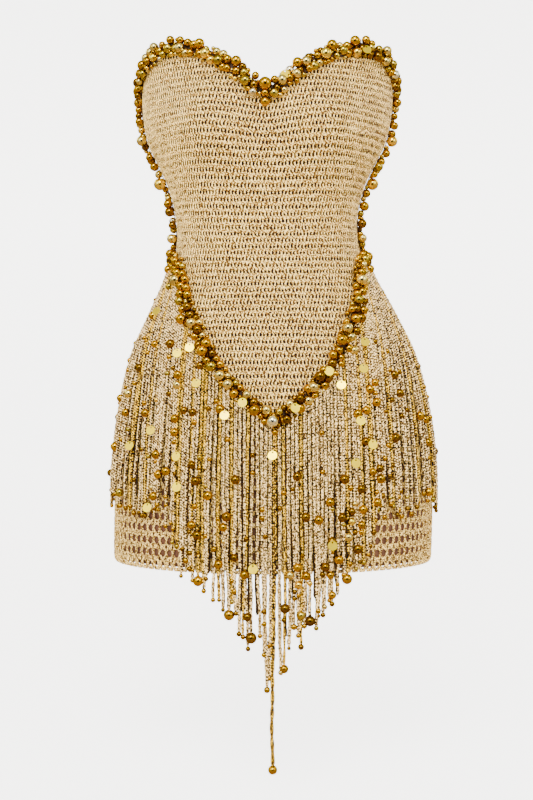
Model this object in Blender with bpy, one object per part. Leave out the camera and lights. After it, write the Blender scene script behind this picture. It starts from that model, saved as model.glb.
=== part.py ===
"""Strapless crochet mini dress with a heart-shaped front panel, bead edging and a long fringe.

The construction model, in metres, +Z up, with the front towards -Y. The origin is the middle of the waist,
where the wearer holds the dress up. Angles run round the body from the middle of the front, 0, to the
wearer's left side, +90 degrees at +X, and on to the middle of the back, 180.
"""

import math
import random

import bmesh
import bpy
import numpy as np

# Driving sizes, in metres
CROCHET_WALL = 0.0024
LINING_WALL = 0.0010
SEAM_GAP = 0.0005
LINING_CLEARANCE = 0.0013
HEM_HEIGHT = -0.392
LINING_LIFT = 0.004
PANEL_ROWS = 12
BACK_ROWS = 6
SKIRT_ROWS = 7

# The worn form: height, half width, depth in front of the side seams and behind them, and its sway along X
FORM_COLUMNS = ("height", "half_width", "front", "back", "sway")
FORM = (
    (0.230, 0.1480, 0.084, 0.084, -0.0030),
    (0.195, 0.1500, 0.093, 0.087, -0.0034),
    (0.165, 0.1500, 0.101, 0.090, -0.0040),
    (0.135, 0.1480, 0.106, 0.092, -0.0046),
    (0.105, 0.1420, 0.106, 0.092, -0.0052),
    (0.078, 0.1290, 0.101, 0.089, -0.0056),
    (0.050, 0.1165, 0.093, 0.085, -0.0058),
    (0.022, 0.1095, 0.087, 0.082, -0.0056),
    (0.000, 0.1075, 0.085, 0.081, -0.0048),
    (-0.022, 0.1095, 0.086, 0.085, -0.0036),
    (-0.050, 0.1180, 0.089, 0.093, -0.0014),
    (-0.100, 0.1420, 0.098, 0.110, 0.0016),
    (-0.150, 0.1650, 0.106, 0.123, 0.0026),
    (-0.200, 0.1780, 0.112, 0.129, 0.0034),
    (-0.250, 0.1860, 0.117, 0.129, 0.0038),
    (-0.300, 0.1895, 0.121, 0.125, 0.0034),
    (-0.350, 0.1895, 0.123, 0.120, 0.0026),
    (-0.385, 0.1890, 0.124, 0.118, 0.0020),
    (-0.392, 0.1875, 0.1225, 0.1165, 0.0020),
)

# The two cups, shaped into the front panel
CUP_SWELL = 0.026
CUP_APART = 0.073
CUP_HEIGHT = 0.103
CUP_SPREAD_WIDE = 0.044
CUP_SPREAD_HIGH = 0.050

# Neckline: angle in degrees and height of the front panel's top edge, from the notch to the side
NECKLINE_COLUMNS = ("angle", "height")
NECKLINE = (
    (0, 0.1355),
    (4, 0.1400),
    (11, 0.1555),
    (15.7, 0.1650),
    (22, 0.1765),
    (28.5, 0.1858),
    (35, 0.1918),
    (40, 0.1952),
    (47, 0.1985),
    (56, 0.1960),
    (68, 0.1885),
    (80, 0.1760),
    (90, 0.1600),
)

# Hip seam: angle and height of the pointed seam between the front panel and the skirt
HIP_SEAM_COLUMNS = ("angle", "height")
HIP_SEAM = (
    (0, -0.2270),
    (5, -0.2150),
    (11.4, -0.1990),
    (18.3, -0.1783),
    (25.6, -0.1520),
    (33.2, -0.1247),
    (43.8, -0.0942),
    (54, -0.0660),
    (64, -0.0460),
    (77, -0.0370),
    (90, -0.0340),
)

# Behind the side seams: angle past the side, height of the top edge and height of the seam
BACK_COLUMNS = ("angle", "top", "seam")
BACK = (
    (0, 0.1600, -0.0340),
    (20, 0.1450, -0.0370),
    (50, 0.1300, -0.0440),
    (90, 0.1250, -0.0500),
)

# Bead edging: lumps in a band that covers the raw edge
BEAD_PITCH = 0.014
BAND_EDGE = 0.0012
NECK_BAND = {"half": 0.0098, "peak": 0.0085, "valley": 0.0035, "rows": 2, "lift": 0.0013}
SEAM_BAND = {"half": 0.0110, "peak": 0.0090, "valley": 0.0038, "rows": 2, "lift": 0.0038}
BACK_BAND = {"half": 0.0060, "peak": 0.0085, "valley": 0.0030, "rows": 1, "lift": 0.0038}
SIDE_STRING = {"top": 0.1440, "foot": -0.0190, "peak": 0.0055, "neck": 0.0030, "sides": 5, "lift": 0.0004}

# Fringe: a narrow strip under the beads, with its strands hanging from its lower edge
FRONT_STRIP = 0.0095
BACK_STRIP = 0.0050
STRIP_TOP_DROP = 0.0008
STRIP_INNER = 0.0009
STRIP_OUTER = 0.0031
FRONT_STRANDS = 71
BACK_STRANDS = 51
STRAND_WIDTH = 0.0042
STRAND_PITCH_SHARE = 0.62
STRAND_THICK = 0.0030
STRAND_CLEARANCE = 0.0022
STRAND_ROOT_SHARE = 0.60
STRAND_STATIONS = (0.018, 0.045, 0.085, 0.130, 0.190)
HANG_STEP = 0.004
SPACING_HEIGHT = -0.280
LENGTH_SCATTER = 0.014
DROP_END = -0.598

# The bead that ends the long middle strand: how far below the strand each section is and how much wider
DROP_BEAD_COLUMNS = ("drop", "swell")
DROP_BEAD = ((0.0045, 3.0), (0.0105, 0.5))

# Where the strands end: angle from the middle of the front and height
FRINGE_END_COLUMNS = ("angle", "height")
FRINGE_END = (
    (0, -0.5050),
    (3, -0.4850),
    (6, -0.4650),
    (12.7, -0.4400),
    (18.8, -0.4180),
    (24.5, -0.3960),
    (32, -0.3850),
    (38, -0.3550),
    (43, -0.3340),
    (57, -0.3220),
    (77, -0.3200),
    (90, -0.3200),
)
BACK_FRINGE_END = -0.3150

# Colours as linear red, green, blue, then roughness and metallic
FINISHES = {
    "crochet": ((0.62, 0.47, 0.29), 0.70, 0.15),
    "lining": ((0.27, 0.14, 0.08), 0.80, 0.0),
    "beads": ((0.46, 0.27, 0.05), 0.22, 0.9),
    "fringe": ((0.60, 0.44, 0.24), 0.60, 0.25),
}


def clear_scene():
    for old in list(bpy.data.objects):
        bpy.data.objects.remove(old)


def finish(name):
    """The named Principled material."""
    found = bpy.data.materials.get(name)
    if found:
        return found
    colour, roughness, metallic = FINISHES[name]
    made = bpy.data.materials.new(name)
    made.use_nodes = True
    shader = made.node_tree.nodes["Principled BSDF"]
    shader.inputs["Base Color"].default_value = (*colour, 1.0)
    shader.inputs["Roughness"].default_value = roughness
    shader.inputs["Metallic"].default_value = metallic
    return made


def smooth_curve(places, values):
    """A smooth function through a table's rows that never overshoots between them."""
    places = np.array(places, float)
    values = np.array(values, float)
    order = np.argsort(places)
    places, values = places[order], values[order]
    steps = np.diff(places)
    rises = np.diff(values) / steps
    slopes = np.concatenate([[rises[0]], np.zeros(len(rises) - 1), [rises[-1]]])
    for i in range(1, len(rises)):
        if rises[i - 1] * rises[i] > 0:
            before, after = 2 * steps[i] + steps[i - 1], steps[i] + 2 * steps[i - 1]
            slopes[i] = (before + after) / (before / rises[i - 1] + after / rises[i])

    def at(place):
        place = min(max(place, places[0]), places[-1])
        i = min(int(np.searchsorted(places, place, side="right")) - 1, len(steps) - 1)
        t = (place - places[i]) / steps[i]
        start = values[i] * (1 + 2 * t) * (1 - t) ** 2 + slopes[i] * steps[i] * t * (1 - t) ** 2
        end = values[i + 1] * t * t * (3 - 2 * t) + slopes[i + 1] * steps[i] * t * t * (t - 1)
        return start + end

    return at


def table_curve(rows, columns, key, value):
    return smooth_curve([r[columns.index(key)] for r in rows], [r[columns.index(value)] for r in rows])


half_width = table_curve(FORM, FORM_COLUMNS, "height", "half_width")
front_depth = table_curve(FORM, FORM_COLUMNS, "height", "front")
back_depth = table_curve(FORM, FORM_COLUMNS, "height", "back")
sway = table_curve(FORM, FORM_COLUMNS, "height", "sway")
neckline_front = table_curve(NECKLINE, NECKLINE_COLUMNS, "angle", "height")
hip_seam_front = table_curve(HIP_SEAM, HIP_SEAM_COLUMNS, "angle", "height")
back_top = table_curve(BACK, BACK_COLUMNS, "angle", "top")
back_seam = table_curve(BACK, BACK_COLUMNS, "angle", "seam")
fringe_end_front = table_curve(FRINGE_END, FRINGE_END_COLUMNS, "angle", "height")


def from_front(angle):
    """How far an angle is from the middle of the front, 0 to 180 degrees."""
    return abs((math.degrees(angle) + 180) % 360 - 180)


def seam_height(angle):
    """The seam between bodice and skirt, all round."""
    away = from_front(angle)
    return hip_seam_front(away) if away <= 90 else back_seam(away - 90)


def neck_height(angle):
    """The top edge of the bodice, all round."""
    away = from_front(angle)
    return neckline_front(away) if away <= 90 else back_top(away - 90)


def fringe_end(angle):
    away = from_front(angle)
    return fringe_end_front(away) if away <= 90 else BACK_FRINGE_END


def form_point(angle, height):
    """A point of the cloth's outer face, with the cups swelling forwards."""
    across, ahead = math.sin(angle), math.cos(angle)
    depth = front_depth(height) if ahead > 0 else back_depth(height)
    x, y = half_width(height) * across, -depth * ahead
    aside = (abs(x) - CUP_APART) / CUP_SPREAD_WIDE
    above = (height - CUP_HEIGHT) / CUP_SPREAD_HIGH
    swell = CUP_SWELL * math.exp(-aside * aside - above * above) * max(ahead, 0.0) ** 0.5
    return np.array((x + sway(height), y - swell, height))


def form_normal(angle, height):
    tiny = 1e-4
    along = form_point(angle + tiny, height) - form_point(angle - tiny, height)
    up = form_point(angle, height + tiny) - form_point(angle, height - tiny)
    normal = np.cross(along, up)
    return normal / np.linalg.norm(normal)


def cloth_point(angle, height, out):
    """A point that far outside the cloth's outer face; inside it where out is negative."""
    return form_point(angle, height) + form_normal(angle, height) * out


def add_object(name, mesh, material):
    made = bpy.data.objects.new(name, mesh)
    made.data.materials.append(finish(material))
    bpy.context.scene.collection.objects.link(made)
    return made


def closed_shell(name, outer, inner, material, tube=False):
    """One closed wall between two grids of points, which may have different counts across."""
    body = bmesh.new()
    outside = [[body.verts.new(p) for p in line] for line in outer]
    inside = [[body.verts.new(p) for p in line] for line in inner]
    count = len(outer)
    for i in range(count if tube else count - 1):
        j = (i + 1) % count
        for a, b in zip(range(len(outer[0]) - 1), range(1, len(outer[0]))):
            body.faces.new((outside[i][a], outside[j][a], outside[j][b], outside[i][b]))
        for a, b in zip(range(len(inner[0]) - 1), range(1, len(inner[0]))):
            body.faces.new((inside[i][b], inside[j][b], inside[j][a], inside[i][a]))
        body.faces.new((inside[i][0], inside[j][0], outside[j][0], outside[i][0]))
        body.faces.new((outside[i][-1], outside[j][-1], inside[j][-1], inside[i][-1]))
    if not tube:
        body.faces.new([*outside[0], *reversed(inside[0])])
        body.faces.new([*inside[-1], *reversed(outside[-1])])
    bmesh.ops.recalc_face_normals(body, faces=body.faces)
    mesh = bpy.data.meshes.new(name)
    body.to_mesh(mesh)
    body.free()
    mesh.shade_smooth()
    mesh.set_sharp_from_angle(angle=math.radians(40))
    return add_object(name, mesh, material)


def panel(name, angles, low, high, rows, outer_out, inner_out, material, tube=False):
    """A cloth panel between two edge curves, as thick as the two offsets say."""

    def face(out):
        return [
            [cloth_point(a, low(a) + (high(a) - low(a)) * r / rows, out) for r in range(rows + 1)]
            for a in angles
        ]

    return closed_shell(name, face(outer_out), face(inner_out), material, tube)


def side_to_side(start, end, columns):
    """Angles from one side seam to the other, held back by half the seam gap."""
    back_off = SEAM_GAP / 2 / back_depth(0)
    return np.linspace(math.radians(start) + back_off, math.radians(end) - back_off, columns + 1)


def make_bodice():
    def foot(angle):
        return seam_height(angle) + SEAM_GAP / 2

    panel("bodice_front", side_to_side(-90, 90, 24), foot, neck_height, PANEL_ROWS, 0, -CROCHET_WALL, "crochet")
    panel("bodice_back", side_to_side(90, 270, 18), foot, neck_height, BACK_ROWS, 0, -CROCHET_WALL, "crochet")


def make_skirt():
    def hem(angle):
        return HEM_HEIGHT

    def top(angle):
        return seam_height(angle) - SEAM_GAP / 2

    panel("skirt_front", side_to_side(-90, 90, 24), hem, top, SKIRT_ROWS, 0, -CROCHET_WALL, "crochet")
    panel("skirt_back", side_to_side(90, 270, 18), hem, top, SKIRT_ROWS, 0, -CROCHET_WALL, "crochet")


def make_lining():
    """The plain tube that shows through the skirt's open stitches."""
    outer = -CROCHET_WALL - LINING_CLEARANCE
    front = np.linspace(-90, 90, 25)
    back = np.linspace(90, 270, 19)[1:-1]
    angles = [math.radians(a) for a in (*front, *back)]

    def hem(angle):
        return HEM_HEIGHT + LINING_LIFT

    def top(angle):
        return seam_height(angle) - LINING_LIFT

    panel("skirt_lining", angles, hem, top, SKIRT_ROWS, outer, outer - LINING_WALL, "lining", tube=True)


def even_angles(start, end, height, spacing):
    """Angles between two ends that lie evenly along a curve on the form, an odd number of them."""
    fine = np.linspace(math.radians(start), math.radians(end), 721)
    points = np.array([form_point(a, height(a)) for a in fine])
    along = np.concatenate([[0], np.cumsum(np.linalg.norm(np.diff(points, axis=0), axis=1))])
    count = 2 * round(along[-1] / spacing / 2)
    return np.interp(np.linspace(0, along[-1], count + 1), along, fine)


def stretch(angle, height):
    """How much taller a sloping band's upright section is than its true width."""
    tiny = math.radians(0.5)
    ahead, behind = (form_point(angle + s * tiny, height(angle + s * tiny)) for s in (1, -1))
    run = np.hypot(*(ahead - behind)[:2])
    return min(math.hypot(1, (ahead - behind)[2] / run), 1.6)


def bead_band(name, start, end, height, band):
    """A band of bead lumps along a curve, in staggered rows over a plain back."""
    angles = even_angles(start, end, height, BEAD_PITCH / 2)
    stations = np.linspace(-1, 1, 2 * band["rows"] + 1)
    outer, inner = [], []
    for i, angle in enumerate(angles):
        reach = band["half"] * stretch(angle, height)
        line = []
        for j, share in enumerate(stations):
            is_row = j % 2 == 1
            is_peak = is_row and (i + j // 2) % 2 == 1
            rise = band["peak"] if is_peak else band["valley"]
            if j in (0, len(stations) - 1):
                rise = BAND_EDGE
            line.append(cloth_point(angle, height(angle) + share * reach, band["lift"] + rise))
        outer.append(line)
        back = (-1, 0, 1)
        inner.append([cloth_point(angle, height(angle) + s * reach, band["lift"]) for s in back])
    closed_shell(name, outer, inner, "beads")


def bead_string(name, angle, string):
    """A single upright string of bead lumps on a side seam."""
    beads = round((string["top"] - string["foot"]) / BEAD_PITCH)
    heights = np.linspace(string["foot"], string["top"], 2 * beads + 1)
    body = bmesh.new()
    rings = []
    for i, height in enumerate(heights):
        radius = string["peak"] if i % 2 else string["neck"]
        centre = cloth_point(angle, height, string["lift"] + string["peak"])
        ring = []
        for k in range(string["sides"]):
            turn = 2 * math.pi * k / string["sides"]
            ring.append(body.verts.new(centre + radius * np.array((math.cos(turn), math.sin(turn), 0))))
        rings.append(ring)
    for low, high in zip(rings, rings[1:]):
        for k in range(string["sides"]):
            n = (k + 1) % string["sides"]
            body.faces.new((low[k], low[n], high[n], high[k]))
    body.faces.new(rings[0])
    body.faces.new(rings[-1])
    bmesh.ops.recalc_face_normals(body, faces=body.faces)
    mesh = bpy.data.meshes.new(name)
    body.to_mesh(mesh)
    body.free()
    add_object(name, mesh, "beads")


def make_beads():
    bead_band("neckline_beads", -86, 86, neck_height, NECK_BAND)
    bead_band("seam_beads_front", -88, 88, seam_height, SEAM_BAND)
    bead_band("seam_beads_back", 93, 267, seam_height, BACK_BAND)
    bead_string("side_beads_right", math.radians(-90), SIDE_STRING)
    bead_string("side_beads_left", math.radians(90), SIDE_STRING)


def outward(point, height):
    """The level outward direction of the form's ellipse through a point."""
    depth = front_depth(height) if point[1] < 0 else back_depth(height)
    lean = np.array(((point[0] - sway(height)) / half_width(height) ** 2, point[1] / depth**2, 0.0))
    return lean / np.linalg.norm(lean)


def hang(start, end_height, clearance):
    """The line of a strand that hangs down and is pushed out by the hips wherever they are wider."""
    points = [np.array(start, float)]
    steps = max(2, round((start[2] - end_height) / HANG_STEP))
    for height in np.linspace(start[2], end_height, steps + 1)[1:]:
        point = np.array((points[-1][0], points[-1][1], height))
        level = max(height, HEM_HEIGHT)
        push = outward(point, level)
        for _ in range(12):
            wide = half_width(level) + clearance
            deep = (front_depth(level) if point[1] < 0 else back_depth(level)) + clearance
            inside = 1 - math.hypot((point[0] - sway(level)) / wide, point[1] / deep)
            if inside <= 0:
                break
            point = point + push * inside * min(wide, deep)
        points.append(point)
    return np.array(points)


def strand_angles(start, end, count):
    """Strand places, evenly spaced at the hips."""
    fine = even_angles(start, end, lambda angle: SPACING_HEIGHT, STRAND_THICK)
    return np.interp(np.linspace(0, len(fine) - 1, count), range(len(fine)), fine)


def strand_line(root, end_height):
    """The points down the middle of one strand, the root first."""
    line = hang(np.mean(root, axis=0), end_height, STRAND_CLEARANCE + STRAND_THICK / 2)
    along = np.concatenate([[0], np.cumsum(np.linalg.norm(np.diff(line, axis=0), axis=1))])
    stations = [length for length in STRAND_STATIONS if length < along[-1] - STRAND_STATIONS[0]]
    lengths = (0.0, *stations, along[-1])
    return [np.array([np.interp(length, along, line[:, k]) for k in range(3)]) for length in lengths]


def strand_width(lines, strand, station):
    """A strand's width at a station, held apart from the strands beside it."""
    beside = [lines[n] for n in (strand - 1, strand + 1) if 0 <= n < len(lines)]
    gaps = [
        np.linalg.norm((line[min(station, len(line) - 1)] - lines[strand][station])[:2]) for line in beside
    ]
    return min(STRAND_WIDTH, STRAND_PITCH_SHARE * min(gaps))


def strand_rings(lines, strand, bead):
    """The three-sided sections of one strand below its root, and a bead at its end where it has one."""
    rings = []
    for station, point in enumerate(lines[strand]):
        if station == 0:
            continue
        out = outward(point, max(point[2], HEM_HEIGHT))
        side = np.array((-out[1], out[0], 0.0)) * strand_width(lines, strand, station) / 2
        face = point + out * STRAND_THICK / 2
        rings.append([face - side, face + side, point - out * STRAND_THICK / 2])
    if bead:
        end = rings[-1]
        middle = np.mean(end, axis=0)
        for drop, swell in DROP_BEAD:
            rings.append([middle + (p - middle) * swell - np.array((0, 0, drop)) for p in end])
    return rings


def fringe(name, start, end, count, strip_height, drop=None):
    """A strip of tape under the beads with strands hanging from its lower edge, fused at their roots."""
    scatter = random.Random(name)
    centres = strand_angles(start, end, count)
    pitch = np.gradient(centres)
    edges = []
    for middle, room in zip(centres, pitch):
        edges += [middle - room * STRAND_ROOT_SHARE / 2, middle + room * STRAND_ROOT_SHARE / 2]
    body = bmesh.new()
    corners = []
    for angle in edges:
        top = seam_height(angle) - STRIP_TOP_DROP
        foot = top - strip_height * stretch(angle, seam_height)
        places = ((top, STRIP_OUTER), (foot, STRIP_OUTER), (foot, STRIP_INNER), (top, STRIP_INNER))
        corners.append([body.verts.new(cloth_point(angle, height, out)) for height, out in places])
    for i, (a, b) in enumerate(zip(corners, corners[1:])):
        body.faces.new((a[0], a[1], b[1], b[0]))
        body.faces.new((a[2], a[3], b[3], b[2]))
        body.faces.new((a[3], a[0], b[0], b[3]))
        if i % 2:
            body.faces.new((a[1], a[2], b[2], b[1]))
    body.faces.new(corners[0])
    body.faces.new(corners[-1][::-1])
    lines = []
    for k, middle in enumerate(centres):
        a, b = corners[2 * k], corners[2 * k + 1]
        stop = fringe_end(middle) + scatter.uniform(-1, 1) * LENGTH_SCATTER
        if drop and k == count // 2:
            stop = drop
        lines.append(strand_line([np.array(v.co) for v in (a[1], b[1], b[2], a[2])], stop))
    for k in range(count):
        a, b = corners[2 * k], corners[2 * k + 1]
        sections = strand_rings(lines, k, drop and k == count // 2)
        rings = [[body.verts.new(p) for p in section] for section in sections]
        first = rings[0]
        body.faces.new((a[1], b[1], first[1], first[0]))
        body.faces.new((b[1], b[2], first[2], first[1]))
        body.faces.new((b[2], a[2], first[2]))
        body.faces.new((a[2], a[1], first[0], first[2]))
        for upper, lower in zip(rings, rings[1:]):
            for s in range(3):
                n = (s + 1) % 3
                body.faces.new((upper[s], upper[n], lower[n], lower[s]))
        body.faces.new(rings[-1])
    bmesh.ops.recalc_face_normals(body, faces=body.faces)
    mesh = bpy.data.meshes.new(name)
    body.to_mesh(mesh)
    body.free()
    add_object(name, mesh, "fringe")


def make_fringe():
    fringe("fringe_front", -88.5, 88.5, FRONT_STRANDS, FRONT_STRIP, DROP_END)
    fringe("fringe_back", 91.5, 268.5, BACK_STRANDS, BACK_STRIP)


def main():
    clear_scene()
    make_bodice()
    make_skirt()
    make_lining()
    make_beads()
    make_fringe()


main()
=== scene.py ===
"""A strapless crochet mini dress, as worn, with bead edging, a beaded fringe and an openwork skirt.

Lengths are in metres, +Z is up and the front of the dress faces -Y. The origin is the middle of the waist.
Angles run round the body from the middle of the front, 0, to the wearer's left side, +90 degrees at +X.
"""

import functools
import math

import bpy
import numpy as np
from bpy.props import FloatProperty, IntProperty, PointerProperty, StringProperty
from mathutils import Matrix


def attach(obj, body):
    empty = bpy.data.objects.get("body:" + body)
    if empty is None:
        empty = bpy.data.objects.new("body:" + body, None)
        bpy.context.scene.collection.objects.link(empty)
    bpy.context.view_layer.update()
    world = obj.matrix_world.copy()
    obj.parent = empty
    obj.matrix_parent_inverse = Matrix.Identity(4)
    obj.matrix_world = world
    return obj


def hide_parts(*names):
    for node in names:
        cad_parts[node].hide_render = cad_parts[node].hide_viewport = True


bl_info = {
    "name": "Crochet fringe dress",
    "version": (1, 0, 0),
    "blender": (4, 5, 0),
    "location": "3D View > Sidebar > Dress",
    "description": "Builds a strapless crochet mini dress with bead edging and a beaded fringe",
    "category": "Add Mesh",
}

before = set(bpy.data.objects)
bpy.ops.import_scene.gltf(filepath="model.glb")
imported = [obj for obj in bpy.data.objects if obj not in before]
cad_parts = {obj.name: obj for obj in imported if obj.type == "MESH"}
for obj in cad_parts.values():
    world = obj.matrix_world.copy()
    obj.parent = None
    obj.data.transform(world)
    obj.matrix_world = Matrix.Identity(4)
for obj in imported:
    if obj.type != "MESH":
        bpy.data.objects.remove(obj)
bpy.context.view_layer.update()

# The worn form: height, half width, depth in front of the side seams and behind them, and its sway along X
FORM_COLUMNS = ("height", "half_width", "front", "back", "sway")
FORM = (
    (0.230, 0.1480, 0.084, 0.084, -0.0030),
    (0.195, 0.1500, 0.093, 0.087, -0.0034),
    (0.165, 0.1500, 0.101, 0.090, -0.0040),
    (0.135, 0.1480, 0.106, 0.092, -0.0046),
    (0.105, 0.1420, 0.106, 0.092, -0.0052),
    (0.078, 0.1290, 0.101, 0.089, -0.0056),
    (0.050, 0.1165, 0.093, 0.085, -0.0058),
    (0.022, 0.1095, 0.087, 0.082, -0.0056),
    (0.000, 0.1075, 0.085, 0.081, -0.0048),
    (-0.022, 0.1095, 0.086, 0.085, -0.0036),
    (-0.050, 0.1180, 0.089, 0.093, -0.0014),
    (-0.100, 0.1420, 0.098, 0.110, 0.0016),
    (-0.150, 0.1650, 0.106, 0.123, 0.0026),
    (-0.200, 0.1780, 0.112, 0.129, 0.0034),
    (-0.250, 0.1860, 0.117, 0.129, 0.0038),
    (-0.300, 0.1895, 0.121, 0.125, 0.0034),
    (-0.350, 0.1895, 0.123, 0.120, 0.0026),
    (-0.385, 0.1890, 0.124, 0.118, 0.0020),
    (-0.392, 0.1875, 0.1225, 0.1165, 0.0020),
)
CUP_SWELL = 0.026
CUP_APART = 0.073
CUP_HEIGHT = 0.103
CUP_SPREAD_WIDE = 0.044
CUP_SPREAD_HIGH = 0.050

# The front panel's top edge and its pointed lower seam: degrees from the middle of the front, height
NECKLINE = (
    (0, 0.1355),
    (4, 0.1400),
    (11, 0.1555),
    (15.7, 0.1650),
    (22, 0.1765),
    (28.5, 0.1858),
    (35, 0.1918),
    (40, 0.1952),
    (47, 0.1985),
    (56, 0.1960),
    (68, 0.1885),
    (80, 0.1760),
    (90, 0.1600),
)
HIP_SEAM = (
    (0, -0.2270),
    (5, -0.2150),
    (11.4, -0.1990),
    (18.3, -0.1783),
    (25.6, -0.1520),
    (33.2, -0.1247),
    (43.8, -0.0942),
    (54, -0.0660),
    (64, -0.0460),
    (77, -0.0370),
    (90, -0.0340),
)

# Behind the side seams: degrees past the side, top edge, seam
BACK = (
    (0, 0.1600, -0.0340),
    (20, 0.1450, -0.0370),
    (50, 0.1300, -0.0440),
    (90, 0.1250, -0.0500),
)
HEM_HEIGHT = -0.392

# Where the fringe ends: degrees from the middle of the front, height
FRINGE_END = (
    (0, -0.5050),
    (3, -0.4850),
    (6, -0.4650),
    (12.7, -0.4400),
    (18.8, -0.4180),
    (24.5, -0.3960),
    (32, -0.3850),
    (38, -0.3550),
    (43, -0.3340),
    (57, -0.3220),
    (77, -0.3200),
    (90, -0.3200),
)
BACK_FRINGE_END = -0.3150

# The camera stands level in front of the dress; one pixel is this long on the plane of the side seams
CAMERA_PLACE = (-0.0054, -1.3, -0.202)
PIXEL = 0.0012
PHOTO_WIDE = 533
PHOTO_HIGH = 800

# Beads that stand out in the edging: pixels across and down, radius in millimetres, finish
ACCENT_BEADS = (
    (172, 39, 4.7, "antique"), (182, 41, 4.5, "antique"), (201, 46, 5.6, "antique"),
    (206, 56, 5.7, "bright"), (219, 63, 5.4, "olive"), (237, 63, 5.8, "antique"),
    (227, 70, 4.3, "antique"), (244, 74, 4.4, "olive"), (255, 72, 4.2, "antique"),
    (265, 81, 7.0, "antique"), (245, 83, 5.4, "olive"), (253, 93, 4.7, "pearl"),
    (265, 94, 4.0, "antique"), (274, 94, 5.1, "olive"), (265, 103, 4.9, "antique"),
    (282, 82, 5.5, "champagne"), (290, 79, 4.2, "antique"), (275, 72, 4.5, "antique"),
    (297, 76, 5.0, "champagne"), (306, 64, 5.5, "champagne"), (297, 57, 5.5, "antique"),
    (309, 70, 4.2, "antique"), (317, 57, 4.0, "antique"), (325, 56, 6.2, "bright"),
    (331, 45, 5.8, "antique"), (342, 52, 4.9, "olive"), (353, 40, 5.6, "antique"),
    (364, 40, 4.8, "antique"), (370, 49, 4.4, "olive"), (376, 57, 4.8, "bronze"),
    (384, 48, 5.5, "champagne"), (391, 65, 4.8, "olive"), (398, 67, 4.6, "antique"),
    (396, 74, 4.8, "antique"), (402, 79, 4.6, "olive"), (399, 90, 4.6, "antique"),
    (400, 103, 4.8, "antique"), (395, 126, 4.6, "antique"), (391, 141, 6.2, "bright"),
    (387, 154, 4.8, "antique"), (377, 164, 5.0, "olive"), (373, 172, 4.2, "antique"),
    (370, 183, 6.9, "bright"), (363, 206, 5.6, "antique"), (363, 224, 5.4, "bronze"),
    (360, 237, 5.0, "champagne"), (156, 47, 5.2, "champagne"), (170, 50, 5.1, "olive"),
    (181, 50, 5.4, "champagne"), (191, 54, 4.0, "antique"), (164, 55, 4.2, "olive"),
    (140, 64, 5.4, "antique"), (149, 62, 4.2, "antique"), (137, 74, 5.2, "bronze"),
    (144, 74, 4.4, "olive"), (139, 96, 4.4, "bronze"), (141, 119, 4.5, "antique"),
    (144, 140, 5.8, "champagne"), (152, 154, 4.5, "antique"), (156, 164, 4.8, "antique"),
    (163, 183, 7.1, "bright"), (171, 202, 5.1, "antique"), (172, 211, 5.4, "bronze"),
    (177, 222, 4.4, "bronze"), (178, 236, 5.6, "champagne"), (178, 251, 5.6, "antique"),
    (177, 262, 4.8, "antique"), (170, 270, 4.8, "antique"), (178, 282, 6.6, "champagne"),
    (181, 302, 5.0, "olive"), (189, 308, 5.0, "bronze"), (183, 320, 5.8, "antique"),
    (193, 324, 5.8, "champagne"), (199, 330, 4.8, "bronze"), (208, 344, 5.8, "antique"),
    (204, 352, 6.2, "antique"), (212, 367, 5.8, "olive"), (221, 376, 5.8, "champagne"),
    (229, 385, 5.8, "champagne"), (235, 394, 5.0, "antique"), (247, 395, 5.0, "champagne"),
    (255, 411, 6.1, "antique"), (266, 410, 5.4, "champagne"), (273, 422, 6.6, "pearl"),
    (275, 433, 3.4, "antique"), (279, 411, 4.2, "olive"), (289, 400, 4.8, "champagne"),
    (290, 410, 4.2, "bronze"), (300, 399, 4.8, "bronze"), (313, 388, 5.8, "champagne"),
    (307, 379, 4.9, "antique"), (319, 375, 5.8, "bronze"), (322, 364, 4.6, "antique"),
    (331, 348, 4.6, "antique"), (340, 340, 6.0, "antique"), (346, 329, 6.0, "champagne"),
    (354, 320, 5.7, "antique"), (357, 301, 5.4, "olive"), (349, 305, 4.2, "antique"),
    (359, 282, 6.6, "champagne"), (368, 270, 4.9, "antique"), (369, 256, 6.0, "antique"),
    (363, 260, 5.2, "olive"),
)

# Round flat spangles: pixels across and down
SPANGLES = (
    (286, 71), (363, 52), (243, 403), (294, 409), (327, 372), (162, 314), (181, 355), (193, 349),
    (199, 384), (226, 416), (155, 431), (135, 446), (180, 457), (273, 456), (180, 487), (152, 507),
    (254, 568), (361, 344), (360, 370), (339, 386), (358, 421), (369, 445), (353, 463), (330, 545),
)

# Strands that end below the hem: pixels across and down of the end bead, its radius in millimetres
LOW_ENDS = (
    (181, 576, 2.4), (198, 581, 5.6), (206, 579, 2.6), (213, 600, 2.6), (219, 600, 2.4), (223, 610, 2.4),
    (229, 615, 5.6), (239, 634, 2.8), (243, 637, 2.8), (251, 638, 6.0), (248, 649, 2.8), (260, 636, 2.8),
    (264, 655, 2.8), (267, 690, 3.4), (284, 669, 4.6), (294, 627, 3.4), (301, 647, 3.2), (310, 621, 5.6),
    (318, 616, 2.6), (323, 615, 2.8), (332, 604, 3.0), (347, 579, 5.6),
)
LONG_STRAND = (272.7, 770, 4.8)

BEAD_FINISHES = {
    "antique": "#C49A10",
    "bronze": "#88660E",
    "olive": "#C0AC40",
    "champagne": "#E8D478",
    "bright": "#FAD44C",
    "pearl": "#FFF4CC",
}
# Shares of the finishes, in that order: lighter round the neck, darker along the hips and in the fringe
LIGHT_MIX = (0.38, 0.16, 0.18, 0.18, 0.08, 0.02)
DARK_MIX = (0.52, 0.30, 0.09, 0.08, 0.01, 0.0)
# A bead's centre lies at most this far out on a band and on a side seam
BAND_DEPTH = 0.0064
SIDE_DEPTH = 0.0058

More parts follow.
